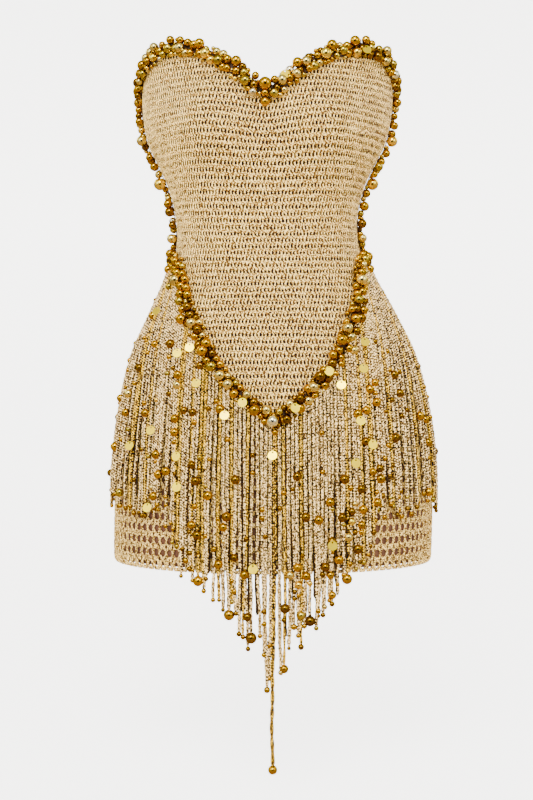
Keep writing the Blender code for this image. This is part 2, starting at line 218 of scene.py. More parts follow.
# In stitches and rows: how far loops lean, over what part of a row, where one row gives way to the next, and
# how far the colours stray, at most
LEAN = 0.55
LEAN_DEPTH = 0.28
ROW_ENDS = (0.3, 0.7)
UNEVEN = (0.36, 0.10, 0.0)

# Sides of a round hole in the net
NET_SIDES = 10
# Pieces stop this short of a seam, and points this near are merged
SEAM_ROOM = 0.0002
DOUBLES = 0.00003
LINING_WALL = 0.0008
# The long gold strand in the middle
LONG_RADIUS = 0.0029
# Half the width of a panel's flat grid, a little more than its widest row
PANEL_HALF = 0.225
# A plain wall's pattern: the form's mean radius, and a stitch and a row on it
MEAN_RADIUS = 0.14
PLAIN_STITCH = (0.0047, 0.0077)
# Heights where the net's holes and the fringe's strands are evenly spaced
NET_LEVEL = -0.33
FRINGE_LEVEL = -0.28
# The net's rings from a hole outwards and back below: their share of the way out, and their height
RING_SHARES = (0.0, 0.42, 1.0, 1.0, 0.0)
RING_RISES = (-0.0004, 0.0008, 0.0, -0.0012, -0.0012)
SLOT_DROP = 0.0006
# Where the net's yarn and its joints lie in a row of the crochet's pattern, the joints on its painted shadow
# line, and the yarn's marks across and up
NET_SHADES = (0.46, 0.29)
NET_MARKS = (0.0024, 0.0030)

# How far a bead is raised at a time, how close two may come, and the height apart at which they can't touch
BEAD_STEP = 0.0008
BEAD_PRESS = 0.90
BEAD_NEAR = 0.020
# Smallest and biggest radius, and how many are tried: for each metre of a band, and on a side seam
BAND_BEADS = ((0.0046, 0.0056, 1500), (0.0038, 0.0047, 3400), (0.0022, 0.0033, 6000))
SIDE_BEADS = ((0.0038, 0.0050, 150), (0.0028, 0.0038, 300), (0.0020, 0.0028, 500))
END_BEADS = (0.0022, 0.0030)
SMALL_BEADS = (0.0024, 0.0032)
BIG_BEADS = (0.0043, 0.0052)
BACK_BEADS = 120
# The fringe's layers: degrees from and to, room off the hips, waviness, and how far the ends stray
FRONT_LAYER = ((-89, 89), 0.0045, 0.0020, (-0.014, 0.014))
# The under layer stands behind the front strands; its near-black colour is painted shade in their gaps
UNDER_LAYER = ((-88, 88), 0.0026, 0.0016, (0.004, 0.030))
BACK_LAYER = ((91, 269), 0.0036, 0.0018, (-0.012, 0.012))
# Tones that the cord's material tells apart
UNDER, CREAM, GOLD, LONG = 0.0, 0.5, 1.0, 1.2


def smooth_curve(places, values):
    """A smooth function through a table's rows that never overshoots between them."""
    places = np.array(places, float)
    values = np.array(values, float)
    steps = np.diff(places)
    rises = np.diff(values) / steps
    slopes = np.concatenate([[rises[0]], np.zeros(len(rises) - 1), [rises[-1]]])
    for i in range(1, len(rises)):
        if rises[i - 1] * rises[i] > 0:
            before, after = 2 * steps[i] + steps[i - 1], steps[i] + 2 * steps[i - 1]
            slopes[i] = (before + after) / (before / rises[i - 1] + after / rises[i])

    def at(place):
        place = np.clip(place, places[0], places[-1])
        i = np.clip(np.searchsorted(places, place, side="right") - 1, 0, len(steps) - 1)
        t = (place - places[i]) / steps[i]
        start = values[i] * (1 + 2 * t) * (1 - t) ** 2 + slopes[i] * steps[i] * t * (1 - t) ** 2
        end = values[i + 1] * t * t * (3 - 2 * t) + slopes[i + 1] * steps[i] * t * t * (t - 1)
        return start + end

    return at


def form_curve(column):
    rows = sorted(FORM)
    i = FORM_COLUMNS.index(column)
    return smooth_curve([r[0] for r in rows], [r[i] for r in rows])


half_width = form_curve("half_width")
front_depth = form_curve("front")
back_depth = form_curve("back")
sway = form_curve("sway")
neckline_front = smooth_curve(*zip(*NECKLINE))
hip_seam_front = smooth_curve(*zip(*HIP_SEAM))
back_top = smooth_curve([r[0] for r in BACK], [r[1] for r in BACK])
back_seam = smooth_curve([r[0] for r in BACK], [r[2] for r in BACK])
fringe_end_front = smooth_curve(*zip(*FRINGE_END))


def from_front(angle):
    """Degrees from the middle of the front, 0 to 180."""
    return np.abs((np.degrees(angle) + 180) % 360 - 180)


def seam_height(angle):
    away = from_front(angle)
    return np.where(away <= 90, hip_seam_front(away), back_seam(away - 90))


def neck_height(angle):
    away = from_front(angle)
    return np.where(away <= 90, neckline_front(away), back_top(away - 90))


def fringe_end(angle):
    away = from_front(angle)
    return np.where(away <= 90, fringe_end_front(away), BACK_FRINGE_END)


def form_point(angle, height):
    """Points of the cloth's outer face, with the cups swelling forwards."""
    angle, height = np.broadcast_arrays(np.asarray(angle, float), np.asarray(height, float))
    across, ahead = np.sin(angle), np.cos(angle)
    depth = np.where(ahead > 0, front_depth(height), back_depth(height))
    x, y = half_width(height) * across, -depth * ahead
    aside = (np.abs(x) - CUP_APART) / CUP_SPREAD_WIDE
    above = (height - CUP_HEIGHT) / CUP_SPREAD_HIGH
    swell = CUP_SWELL * np.exp(-aside * aside - above * above) * np.sqrt(np.maximum(ahead, 0.0))
    return np.stack([x + sway(height), y - swell, height], axis=-1)


def form_normal(angle, height):
    tiny = 2e-4
    along = form_point(angle + tiny, height) - form_point(angle - tiny, height)
    up = form_point(angle, height + tiny) - form_point(angle, height - tiny)
    normal = np.cross(along, up)
    return normal / np.linalg.norm(normal, axis=-1, keepdims=True)


def cloth_point(angle, height, out):
    """Points that far outside the cloth's outer face; inside it where out is negative."""
    return form_point(angle, height) + form_normal(angle, height) * np.asarray(out)[..., None]


def to_photo(points):
    """Where points in space fall in the photograph, in pixels."""
    focal = -CAMERA_PLACE[1] / PIXEL
    away = points[..., 1] - CAMERA_PLACE[1]
    across = (points[..., 0] - CAMERA_PLACE[0]) / away * focal + PHOTO_WIDE / 2
    down = PHOTO_HIGH / 2 - (points[..., 2] - CAMERA_PLACE[2]) / away * focal
    return np.stack([across, down], axis=-1)


def from_photo(across, down, y):
    """The point at depth y that falls on a pixel."""
    away = (y - CAMERA_PLACE[1]) * PIXEL / -CAMERA_PLACE[1]
    x = CAMERA_PLACE[0] + (across - PHOTO_WIDE / 2) * away
    return np.array((x, y, CAMERA_PLACE[2] + (PHOTO_HIGH / 2 - down) * away))


@functools.cache
def front_seen():
    """Angles and heights all over the cloth's front, and where they fall in the photograph."""
    angles = np.radians(np.arange(-92, 92.1, 0.4))
    heights = np.arange(-0.45, 0.215, 0.001)
    return angles, heights, to_photo(cloth_point(angles[:, None], heights[None, :], 0.004))


def on_cloth(across, down):
    """The angle and height of the cloth's front that falls nearest to a pixel."""
    angles, heights, seen = front_seen()
    gap = np.hypot(seen[..., 0] - across, seen[..., 1] - down)
    i, j = np.unravel_index(np.argmin(gap), gap.shape)
    return angles[i], heights[j]


def linear(colour):
    """A hex sRGB colour as linear red, green, blue and alpha."""
    parts = [int(colour[i : i + 2], 16) / 255 for i in (1, 3, 5)]
    return (*(c / 12.92 if c <= 0.04045 else ((c + 0.055) / 1.055) ** 2.4 for c in parts), 1.0)


def settings_group(name, rows):
    """A group of the panel's settings; numbers with a point are lengths, but for those marked NONE."""
    kinds = {str: StringProperty, int: IntProperty, float: FloatProperty}
    notes = {}
    for key, label, hint, default, *unit in rows:
        more = {"unit": unit[0] if unit else "LENGTH"} if isinstance(default, float) else {}
        notes[key] = kinds[type(default)](name=label, description=hint, default=default, **more)
    return type(name, (bpy.types.PropertyGroup,), {"__annotations__": notes})


SETTINGS = {
    "dress_crochet": settings_group("CrochetSettings", (
        ("stitch", "Stitch width", "One stitch along a row", 0.0040),
        ("row", "Row height", "One row of the bodice", 0.0077),
        ("dip", "Row dip", "How far rows drop in front", 0.010),
        ("gather", "Gather", "Dip between the cups", 0.003),
        ("relief", "Relief", "Height of the stitches", 0.0012),
        ("wall", "Wall", "Thickness of the crochet", 0.0024),
        # The hole and shade colours are painted shade, in the holes and on the sides of the yarn; the light
        # and glint colours are painted highlights and glints on its crowns
        ("hole", "Hole colour", "Depth between stitches", "#160A02"),
        ("shade", "Shade colour", "Sides of the yarn", "#4E2C0A"),
        ("yarn", "Yarn colour", "The yarn's own colour", "#785118"),
        ("light", "Light colour", "Crowns of the yarn", "#AA8230"),
        ("glint", "Glint colour", "Metallic thread", "#FCD67C"),
    )),
    "dress_net": settings_group("NetSettings", (
        ("pitch", "Hole pitch", "Holes along a row", 0.0088),
        ("row", "Row height", "One row of holes", 0.0135),
        ("hole_wide", "Hole width", "Across a hole", 0.0071),
        ("hole_high", "Hole height", "Height of a hole", 0.0088),
        ("slot_row", "Slot row", "Hem row with slots", 0.0130),
        ("slot_wide", "Slot width", "Across a hem slot", 0.0040),
        ("slot_high", "Slot height", "Height of a hem slot", 0.0068),
        ("lining", "Lining colour", "Nude-brown knit", "#5C3418"),
    )),
    "dress_beads": settings_group("BeadSettings", (
        ("neck_half", "Neck band", "Half its width", 0.0115),
        ("seam_half", "Seam band", "Half its width", 0.0100),
        ("back_half", "Back band", "Half its width", 0.0060),
        ("tape", "Tape", "Thickness of the tape beneath", 0.0010),
        # The tape's dark colour is painted shade for the depth between the beads
        ("tape_colour", "Tape colour", "Dark bronze tape", "#4A2A0A"),
        ("seed", "Seed", "Changes the bead layout", 5),
    )),
    "dress_fringe": settings_group("FringeSettings", (
        ("front", "Front strands", "Upper layer, side to side", 101),
        ("under", "Under strands", "Lower layer, side to side", 62),
        ("back", "Back strands", "Strands behind", 86),
        ("radius", "Strand radius", "Half a strand", 0.0023),
        ("chain", "Chain radius", "Half a gold chain", 0.0021),
        ("twist", "Twist", "One turn of the plies", 0.0070),
        ("link", "Link", "One link of a gold chain", 0.0030),
        ("gold_share", "Gold share", "Part of gold strands", 0.25, "NONE"),
        ("beads", "Beads", "Beads tried on the front strands", 250),
        ("seed", "Seed", "Changes the strands", 8),
    )),
    "dress_stage": settings_group("StageSettings", (
        ("floor", "Floor height", "Height of the floor", -0.655),
        ("radius", "Floor radius", "Flat part of the floor", 2.0),
        ("colour", "Floor colour", "Pale paper", "#F7F6F4"),
        ("key", "Key light", "Power of the main light", 80.0, "NONE"),
        ("sky", "Ceiling light", "Strength of the light from above", 1.55, "NONE"),
        ("glow", "Paper glow", "Light of the paper itself", 1.5, "NONE"),
    )),
}


def deselect_all():
    if bpy.context.object and bpy.context.object.mode != "OBJECT":
        bpy.ops.object.mode_set(mode="OBJECT")
    bpy.ops.object.select_all(action="DESELECT")


def edit_mesh(kind, action="DESELECT"):
    """Enters edit mode, with faces or edges to select."""
    bpy.ops.object.mode_set(mode="EDIT")
    bpy.ops.mesh.select_mode(type=kind)
    bpy.ops.mesh.select_all(action=action)


def choose(obj):
    """Makes one object the only selected and the active one."""
    deselect_all()
    obj.select_set(True)
    bpy.context.view_layer.objects.active = obj


def apply_modifier(obj, kind, **settings):
    choose(obj)
    modifier = obj.modifiers.new(kind.title(), kind)
    for key, value in settings.items():
        setattr(modifier, key, value)
    bpy.ops.object.modifier_apply(modifier=modifier.name)


def get_points(obj):
    flat = np.empty(len(obj.data.vertices) * 3)
    obj.data.vertices.foreach_get("co", flat)
    return flat.reshape(-1, 3)


def set_points(obj, points, **values):
    """Moves an object's points, and gives them named vectors."""
    obj.data.vertices.foreach_set("co", np.ascontiguousarray(points).ravel())
    for label, vectors in values.items():
        layer = obj.data.attributes.new(label, "FLOAT_VECTOR", "POINT")
        layer.data.foreach_set("vector", np.ascontiguousarray(vectors).ravel())
    obj.data.update()


def take_mesh(obj):
    """A modelled start as arrays of points and faces; the object itself is removed."""
    points = get_points(obj)
    faces = [tuple(p.vertices) for p in obj.data.polygons]
    bpy.data.objects.remove(obj)
    return points, faces


def make_mesh(name, points, faces, label=None, kind="FLOAT_VECTOR", values=None):
    """A smooth-shaded object from points and faces, with named values at its points."""
    mesh = bpy.data.meshes.new(name)
    mesh.from_pydata(np.asarray(points).tolist(), [], [list(map(int, f)) for f in faces])
    if label:
        layer = mesh.attributes.new(label, kind, "POINT")
        field = "color" if kind == "FLOAT_COLOR" else "vector"
        layer.data.foreach_set(field, np.asarray(values, float).ravel())
    mesh.shade_smooth()
    obj = bpy.data.objects.new(name, mesh)
    bpy.context.scene.collection.objects.link(obj)
    return obj


def hand_over(obj, material, nodes=()):
    """Gives a finished piece its material, its body and the solids that it stands for."""
    obj.data.materials.clear()
    obj.data.materials.append(material)
    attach(obj, "root")
    if nodes:
        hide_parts(*nodes)


def node(tree, kind, inputs=(), stops=(), **settings):
    """Adds a node, such as Bump or Math SINE, or sets one that is there.

    Inputs are values, nodes or their outputs; stops are a ramp's places and colours.
    """
    made = kind
    if isinstance(kind, str):
        kind, *operation = kind.split()
        made = tree.nodes.new("ShaderNode" + kind)
        if operation:
            made.operation = operation[0]
    for key, value in settings.items():
        setattr(made, key, value)
    for key, value in inputs.items() if isinstance(inputs, dict) else enumerate(inputs):
        if isinstance(value, bpy.types.Node):
            value = value.outputs[0]
        if isinstance(value, bpy.types.NodeSocket):
            tree.links.new(value, made.inputs[key])
        else:
            made.inputs[key].default_value = value
    for k, (place, colour) in enumerate(stops):
        elements = made.color_ramp.elements
        element = elements[k] if k < 2 else elements.new(place)
        element.position = place
        element.color = linear(colour)
    return made


def new_material(name):
    """A material, the function that adds its nodes, its shader and the Object coordinates."""
    material = bpy.data.materials.new(name)
    material.use_nodes = True
    tree = material.node_tree
    add = functools.partial(node, tree)
    return material, add, tree.nodes["Principled BSDF"], add("TexCoord").outputs["Object"]


def speckled(name, scale, low, high, strength=0.0, depth=0.0, **looks):
    """A material of two close shades in fine grain, raised where it is given a bump's strength and depth."""
    material, add, shader, coords = new_material(name)
    grain = add("TexNoise", {"Vector": coords, "Scale": scale})
    looks["Base Color"] = add("ValToRGB", [grain], (low, high))
    if strength:
        looks["Normal"] = add("Bump", {"Height": grain, "Strength": strength, "Distance": depth})
    add(shader, looks)
    return material


def crochet_material(settings):
    """Champagne lurex yarn in crochet: soft polyester plies with a metallic thread; shade is painted into its
    holes and gaps, and highlights and glints onto its crowns.
    """
    material, add, shader, coords = new_material("lurex_crochet")
    place = add("Attribute", attribute_name="stitch").outputs["Vector"]
    uneven = add("TexNoise", {"Vector": coords, "Scale": 70.0, "Detail": 1.0}).outputs["Color"]
    across, up, _ = add("SeparateXYZ", [add("VectorMath MULTIPLY_ADD", (uneven, UNEVEN, place))]).outputs
    level = add("Math FRACT", [up])
    edge = add("Math ABSOLUTE", [add("Math SUBTRACT", (level, 0.5))])
    # The loops lean towards the middle of a row and stand upright beside its holes
    lean = add("MapRange", (edge, 0.0, LEAN_DEPTH, 0.0, LEAN))
    # Each row's holes stand half a stitch aside of the last row's
    passed = add("MapRange", (level, *ROW_ENDS, 0.0, 1.0))
    row = add("Math ADD", (passed, add("Math SUBTRACT", (up, level))))
    phase = add("Math ADD", (add("Math MULTIPLY_ADD", (row, 0.5, lean)), across))
    turn = add("Math MULTIPLY", (phase, 2 * math.pi))
    limb = add("Math COSINE", [turn])
    ply = add("Math SINE", [add("Math MULTIPLY", (turn, 2.0))])
    near = add("MapRange", (edge, 0.25, 0.37, 0.0, 1.0), interpolation_type="SMOOTHSTEP")
    gap = add("MapRange", (limb, 0.45, -0.35, 0.0, 1.0), interpolation_type="SMOOTHSTEP")
    # A thin shadow is painted over each row of holes, under the edge of the yarn above it
    above = add("Math ABSOLUTE", [add("Math SUBTRACT", (level, 0.29))])
    hooked = add("MapRange", (above, 0.02, 0.10, 1.0, 0.0), interpolation_type="SMOOTHSTEP")
    # Every second row of holes is drawn tighter, its painted shade darker
    line = add("Math MODULO", (add("Math ADD", (up, 0.5)), 2.0))
    strong = add("Math MULTIPLY_ADD", (add("Math GREATER_THAN", (line, 1.0)), 0.40, 0.60))
    # Where holes lie, the colour is pulled down to the hole colour: painted shade
    hole = add("Math MULTIPLY", (add("Math MULTIPLY", (near, gap)), strong))
    # The yarn's plies are about 0.7 mm thick, drawn at 1.5 mm so that they show
    grain = add("TexNoise", {"Vector": coords, "Scale": 650.0, "Detail": 1.0})
    drift = add("TexNoise", {"Vector": coords, "Scale": 26.0, "Detail": 1.0})
    tone = add("Math MULTIPLY_ADD", (grain, 2.9, -0.97))
    # Loops and plies raise the tone, partly real pattern and partly painted highlight on their crowns; the
    # shadow line and the holes lower it as painted shade
    for part, share in ((limb, 0.20), (ply, 0.24), (drift, 0.12), (hooked, -0.24), (hole, -1.35)):
        tone = add("Math MULTIPLY_ADD", (part, share, tone))
    # The ramp's hole and shade colours are painted shade and its light and glint colours painted highlights;
    # only the yarn colour is the yarn's own
    stops = ((0.0, settings.hole), (0.84, settings.glint), (0.22, settings.shade), (0.43, settings.yarn),
             (0.62, settings.light))
    bump = add("Bump", {"Height": tone, "Strength": 0.7, "Distance": 0.0007})
    add(shader, {"Base Color": add("ValToRGB", [tone], stops), "Normal": bump, "Roughness": 0.45,
                 "Metallic": 0.3, "Specular IOR Level": 0.2})
    return material


def lining_material(settings):
    """Matt nude-brown power-mesh knit; its wales, 0.6 mm apart, are drawn at 1.5 mm so that they show."""
    return speckled("lining_knit", 650.0, (0.3, "#43260F"), (0.7, settings.lining), 0.4, 0.0003,
                    Roughness=0.85)


def tape_material(settings):
    """Woven polyester tape, coloured dark as painted shade: it only shows as depth between the beads."""
    return speckled("bronze_tape", 800.0, (0.35, "#2A1604"), (0.65, settings.tape_colour), 0.5, 0.0004,
                    Roughness=0.7)


def bead_material():
    """Acrylic pearls with a vacuum-plated gold coat: mirror-like, each in its own tone, thin in patches."""
    material, add, shader, coords = new_material("plated_gold_pearls")
    tone = add("Attribute", attribute_name="bead_tone").outputs["Color"]
    # The coat thins in patches of a few millimetres
    worn = add("TexNoise", {"Vector": coords, "Scale": 260.0, "Detail": 2.0})
    patch = add("ValToRGB", [worn], ((0.36, "#EEE0B4"), (0.60, "#FFFFFF")))
    mixed = add("Mix", data_type="RGBA", blend_type="MULTIPLY")
    add(mixed, {"Factor": 1.0, "A": tone, "B": patch})
    rough = add("MapRange", (worn, 0.3, 0.7, 0.14, 0.07))
    # Gold darkens towards a ball's rim
    add(shader, {"Base Color": mixed.outputs["Result"], "Metallic": 1.0, "Roughness": rough,
                 "Specular Tint": (0.50, 0.32, 0.10, 1.0)})
    return material


def spangle_material():
    """Punched foil spangles: pale yellow gold, bright but slightly brushed."""
    return speckled("foil_spangle", 420.0, (0.3, "#F8CE00"), (0.7, "#FFE600"), Metallic=1.0, Roughness=0.34)


def strand_material():
    """Chainette cord of lurex: cream or gold plies braided into small Vs, with painted shade where they part
    and painted highlights on their crowns.
    """
    material, add, shader, coords = new_material("lurex_cord")
    place = add("Attribute", attribute_name="strand").outputs["Vector"]
    side, along, tone = add("SeparateXYZ", [place]).outputs
    # Threads are about 0.5 mm thick, drawn at 2 mm so that they show
    grain = add("TexNoise", {"Vector": coords, "Scale": 500.0, "Detail": 1.0})
    # Two wavy plies lie side by side, crossing once in a link of 3 mm
    swing = add("Math SINE", [add("Math MULTIPLY", (along, 2 * math.pi))])
    apart = add("Math MULTIPLY_ADD", (swing, 0.20, side))
    # The groove between the plies is darkened as painted shade
    groove = add("Math COSINE", [add("Math MULTIPLY", (apart, 2 * math.pi))])
    # The braid makes a V in each link, darkened as painted shade
    slant = add("Math MULTIPLY_ADD", (add("Math ABSOLUTE", [side]), -0.60, along))
    notch = add("Math COSINE", [add("Math MULTIPLY", (slant, 2 * math.pi))])
    shade = add("Math MULTIPLY_ADD", (grain, 3.6, -1.37))
    for part, share in ((groove, -0.34), (notch, -0.30)):
        shade = add("Math MULTIPLY_ADD", (part, share, shade))
    # Near-black stops are painted shade between plies and strands; the top stops are painted highlights and
    # glints
    colour = add("ValToRGB", [shade], ((0.10, "#120800"), (0.84, "#FFDA90"), (0.28, "#422606"),
                                       (0.44, "#805A20"), (0.62, "#B8944C")))
    # The long strand in the middle is a duller gold than the others
    dull = add("MapRange", (tone, GOLD, LONG, 0.0, -0.22))
    # The gold ramp's darkest and brightest stops are painted shade and painted highlights as well
    gold = add("ValToRGB", [add("Math ADD", (dull, shade))],
               ((0.12, "#0C0501"), (0.92, "#FFCC30"), (0.34, "#402602"), (0.58, "#9A6A0C")))
    # The under layer is near black: painted shade for the gaps between the strands in front
    under = add("ValToRGB", [shade], ((0.2, "#0A0501"), (0.9, "#40260A")))
    is_gold = add("Math GREATER_THAN", (tone, (CREAM + GOLD) / 2))
    is_under = add("Math LESS_THAN", (tone, (UNDER + CREAM) / 2))
    for chosen, other in ((is_gold, gold), (is_under, under)):
        mixed = add("Mix", data_type="RGBA")
        add(mixed, {"Factor": chosen, "A": colour, "B": other})
        colour = mixed.outputs["Result"]
    bump = add("Bump", {"Height": shade, "Strength": 0.7, "Distance": 0.0007})
    add(shader, {"Base Color": colour, "Normal": bump, "Roughness": 0.4, "Metallic": 0.35,
                 "Specular IOR Level": 0.2})
    return material


def stitch_relief(across, up):
    """Height of the stitches, 0 in a hole and 1 on the yarn, from places counted in stitches and rows."""
    edge = np.abs(up % 1 - 0.5)
    row = np.floor(up) + np.clip((up % 1 - ROW_ENDS[0]) / (ROW_ENDS[1] - ROW_ENDS[0]), 0, 1)
    limb = np.cos(2 * np.pi * (across + LEAN * np.clip(edge / LEAN_DEPTH, 0, 1) + 0.5 * row))
    near = np.clip((edge - 0.2) / 0.2, 0, 1)
    gap = np.clip(0.5 - 0.5 * limb, 0, 1)
    strong = np.where((up + 0.5) % 2 > 1, 1.0, 0.6)
    return np.clip(1.0 - 0.35 * gap - 0.25 * near * near - 0.6 * near * gap * strong, 0, 1)


def start_grid(name, columns, rows):
    """A flat grid to bend into cloth, with how far across and up its points lie, 0 to 1."""
    deselect_all()
    bpy.ops.mesh.primitive_grid_add(x_subdivisions=columns, y_subdivisions=rows, size=1)
    obj = bpy.context.object
    obj.name = name
    obj.data.name = name
    return obj, *(get_points(obj)[:, :2].T + 0.5)


def length_along(line):
    """How far along a line of points each of them lies."""
    return np.concatenate([[0], np.cumsum(np.linalg.norm(np.diff(line, axis=0), axis=1))])


def make_crochet_panel(name, middle, settings, dip, levels, across_steps, up_steps):
    """A crochet panel from side seam to side seam round a middle angle, with raised stitches."""
    stitch, row = settings.stitch, settings.row
    low, high = levels
    columns = 2 * round(PANEL_HALF / stitch) * across_steps
    rows = round((high - low) / row) * up_steps
    obj, right, up = start_grid(name, columns, rows)
    i, j = np.rint(right * columns).astype(int), np.rint(up * rows).astype(int)
    span = (np.arange(columns + 1) - columns / 2) * stitch / across_steps
    rise = low + np.arange(rows + 1) * row / up_steps
    fine = np.radians(np.linspace(-115, 115, 231))
    angles = np.empty((rows + 1, columns + 1))
    for k, level in enumerate(rise):
        along = length_along(form_point(middle + fine, level - dip(fine, level)))
        angles[k] = np.interp(span, along - along[len(along) // 2], fine)
    turn = angles[j, i]
    height = rise[j] - dip(turn, rise[j])
    angle = middle + np.clip(turn, -math.pi / 2, math.pi / 2)
    foot, top = seam_height(angle), neck_height(angle)
    outside = (height < foot) | (height > top) | (np.abs(turn) > math.pi / 2)
    across, up = span[i] / stitch, (rise[j] - low) / row
    relief = stitch_relief(across, up)
    # Three quarters of the relief lies under the form's surface
    points = cloth_point(angle, np.clip(height, foot, top), settings.relief * (relief - 0.75))
    # The material's unevenness adds back what is taken off here, so that its holes lie in the hollows
    places = np.stack([across - UNEVEN[0] / 2, up - UNEVEN[1] / 2, relief], axis=-1)
    set_points(obj, points, stitch=places)
    corners = np.empty(len(obj.data.loops), int)
    obj.data.loops.foreach_get("vertex_index", corners)
    edit_mesh("FACE")
    bpy.ops.object.mode_set(mode="OBJECT")
    obj.data.polygons.foreach_set("select", outside[corners.reshape(-1, 4)].all(axis=1))
    bpy.ops.object.mode_set(mode="EDIT")
    bpy.ops.mesh.delete(type="FACE")
    # The cut edges turn inwards over most of the wall's thickness
    bpy.ops.mesh.select_mode(type="EDGE")
    bpy.ops.mesh.select_all(action="DESELECT")
    bpy.ops.mesh.select_non_manifold()
    bpy.ops.mesh.extrude_edges_move(TRANSFORM_OT_translate={"value": (0, 0, 0)})
    bpy.ops.object.mode_set(mode="OBJECT")
    picked = np.empty(len(obj.data.vertices), bool)
    obj.data.vertices.foreach_get("select", picked)
    points = get_points(obj)
    outwards = points[picked] * (1, 1, 0)
    outwards /= np.linalg.norm(outwards, axis=1, keepdims=True)
    points[picked] -= outwards * settings.wall * 0.8
    set_points(obj, points)
    obj.data.shade_smooth()
    return obj


def flat_line(angle):
    return 0.0 * angle


def beside(curve, distance):
    """A curve of heights that far above another, or below it where the distance is negative."""
    return lambda angle: curve(angle) + distance


def make_shell(name, turns, low, high, grid, out, thick):
    """A plain thin wall of cloth round part of the form, with the crochet's places on it."""
    obj, right, up = start_grid(name, *grid)
    angle = np.radians(turns[0] + (turns[1] - turns[0]) * right)
    height = low(angle) + (high(angle) - low(angle)) * up
    stitch, row = PLAIN_STITCH
    places = np.stack([angle * MEAN_RADIUS / stitch, height / row, 0 * angle], axis=-1)
    set_points(obj, cloth_point(angle, height, np.full(len(angle), out)), stitch=places)
    apply_modifier(obj, "SOLIDIFY", thickness=thick, offset=-1)
    obj.data.shade_smooth()
    return obj


class DRESS_OT_bodice(bpy.types.Operator):
    """Crochets the front and back panels of the bodice"""

    bl_idname = "dress.bodice"
    bl_label = "Bodice"

    def execute(self, context):
        settings = context.scene.dress_crochet
        material = crochet_material(settings)

        def front_dip(turn, level):
            share = np.clip((level + 0.12) / 0.12, 0, 1)
            ahead = np.cos(np.clip(turn, -math.pi / 2, math.pi / 2)) ** 2
            between = np.exp(-((turn / 0.16) ** 2)) * np.clip((level - 0.08) / 0.04, 0, 1)
            return settings.dip * share * ahead + settings.gather * between

        def no_dip(turn, level):
            return 0.0 * turn

        front = make_crochet_panel("crochet_front", 0.0, settings, front_dip, (-0.2455, 0.2079), 4, 5)
        back = make_crochet_panel("crochet_back", math.pi, settings, no_dip, (-0.0616, 0.1694), 3, 4)
        hand_over(front, material, ["bodice_front"])
        hand_over(back, material, ["bodice_back"])
        foot, top = beside(seam_height, SEAM_ROOM), beside(neck_height, -SEAM_ROOM)
        inside = LINING_WALL - settings.wall
        for side, turns in (("front", (-90, 90)), ("back", (90, 270))):
            shell = make_shell("bodice_inside_" + side, turns, foot, top, (60, 40), inside, LINING_WALL)
            hand_over(shell, material)
        return {"FINISHED"}


def net_tile(hole_wide, hole_high, wide, high, drop):
    """One mesh of the net, modelled flat from its hole outwards: a raised ring of yarn."""
    deselect_all()
    bpy.ops.mesh.primitive_circle_add(vertices=NET_SIDES, radius=0.5)
    obj = bpy.context.object
    bpy.ops.object.mode_set(mode="EDIT")
    bpy.ops.mesh.select_all(action="SELECT")
    # Rings outwards over the front, then back under it to the hole
    for _ in range(4):
        bpy.ops.mesh.extrude_edges_move(TRANSFORM_OT_translate={"value": (0, 0, 0)})
    bpy.ops.object.mode_set(mode="OBJECT")
    points, faces = take_mesh(obj)
    turn = np.arctan2(points[:, 1], points[:, 0])
    ring = np.arange(len(points)) // NET_SIDES
    circle = np.stack([np.cos(turn), np.sin(turn)], axis=-1)
    square = circle / np.abs(circle).max(axis=1, keepdims=True)
    hole = circle * (hole_wide / 2, hole_high / 2) + (0, drop)
    edge = square * (wide / 2, high / 2)
    shares = np.array(RING_SHARES)[ring][:, None]
    rises = np.array(RING_RISES)[ring]
    points = np.column_stack([hole * (1 - shares) + edge * shares, rises])
    first, last = (np.where(ring == r)[0] for r in (0, 4))
    first, last = (own[np.argsort(turn[own])] for own in (first, last))
    for a in range(NET_SIDES):
        b = (a + 1) % NET_SIDES
        faces.append((first[a], first[b], last[b], last[a]))
    middle = points[:, :2].mean(axis=0)
    fixed = []
    for face in faces:
        corners = points[list(face)]
        normal = np.cross(corners[1] - corners[0], corners[2] - corners[0])
        rings = {int(v) // NET_SIDES for v in face}
        # The outer rim is left out, since the neighbours close it
        if rings == {2, 3}:
            continue
        wanted = np.array((*(middle - corners.mean(axis=0)[:2]), 0.0))
        if rings in ({0, 1}, {1, 2}, {3, 4}):
            wanted = np.array((0, 0, -1.0 if rings == {3, 4} else 1.0))
        fixed.append(face if normal @ wanted > 0 else face[::-1])
    return points, fixed


def arc_along(start, end, level):
    """Angles round the form at a height, and how far along the cloth each lies."""
    fine = np.radians(np.linspace(start, end, 721))
    return fine, length_along(form_point(fine, level(fine) if callable(level) else level))


